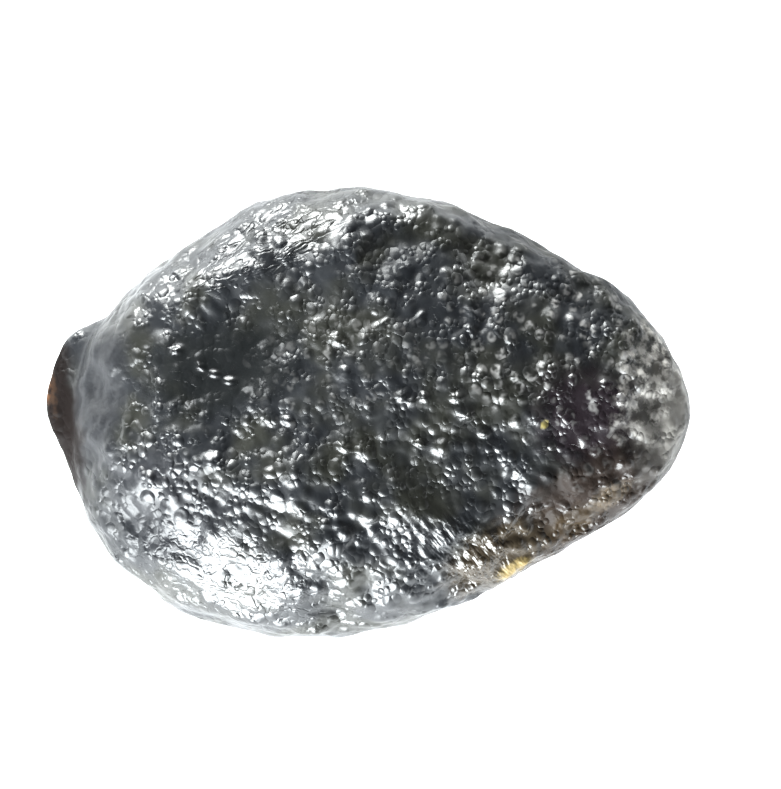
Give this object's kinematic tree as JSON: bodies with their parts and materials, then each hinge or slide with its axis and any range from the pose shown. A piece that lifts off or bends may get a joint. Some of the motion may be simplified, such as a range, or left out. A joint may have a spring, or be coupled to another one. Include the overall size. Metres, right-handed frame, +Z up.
{
  "type": "raw australite tektite",
  "caption": "Egg-shaped piece of natural black glass with a pitted skin, a rounded tip, a low ledge at its blunt end and a small worn foot.",
  "frame": {"origin": "on the surface that the stone rests on, under the middle of its bounding box", "axes": "+Z up, away from the worn foot; +X along the length, towards the narrow tip; +Y across the width, towards the upper edge of the picture"},
  "size_m": [0.0256, 0.018, 0.0119],
  "materials": {
    "tektite_glass": "glossy etched natural glass, dark slate black, brown where it is thin"
  },
  "bodies": {
    "root": {"tektite": "tektite_glass"}
  },
  "joints": []
}
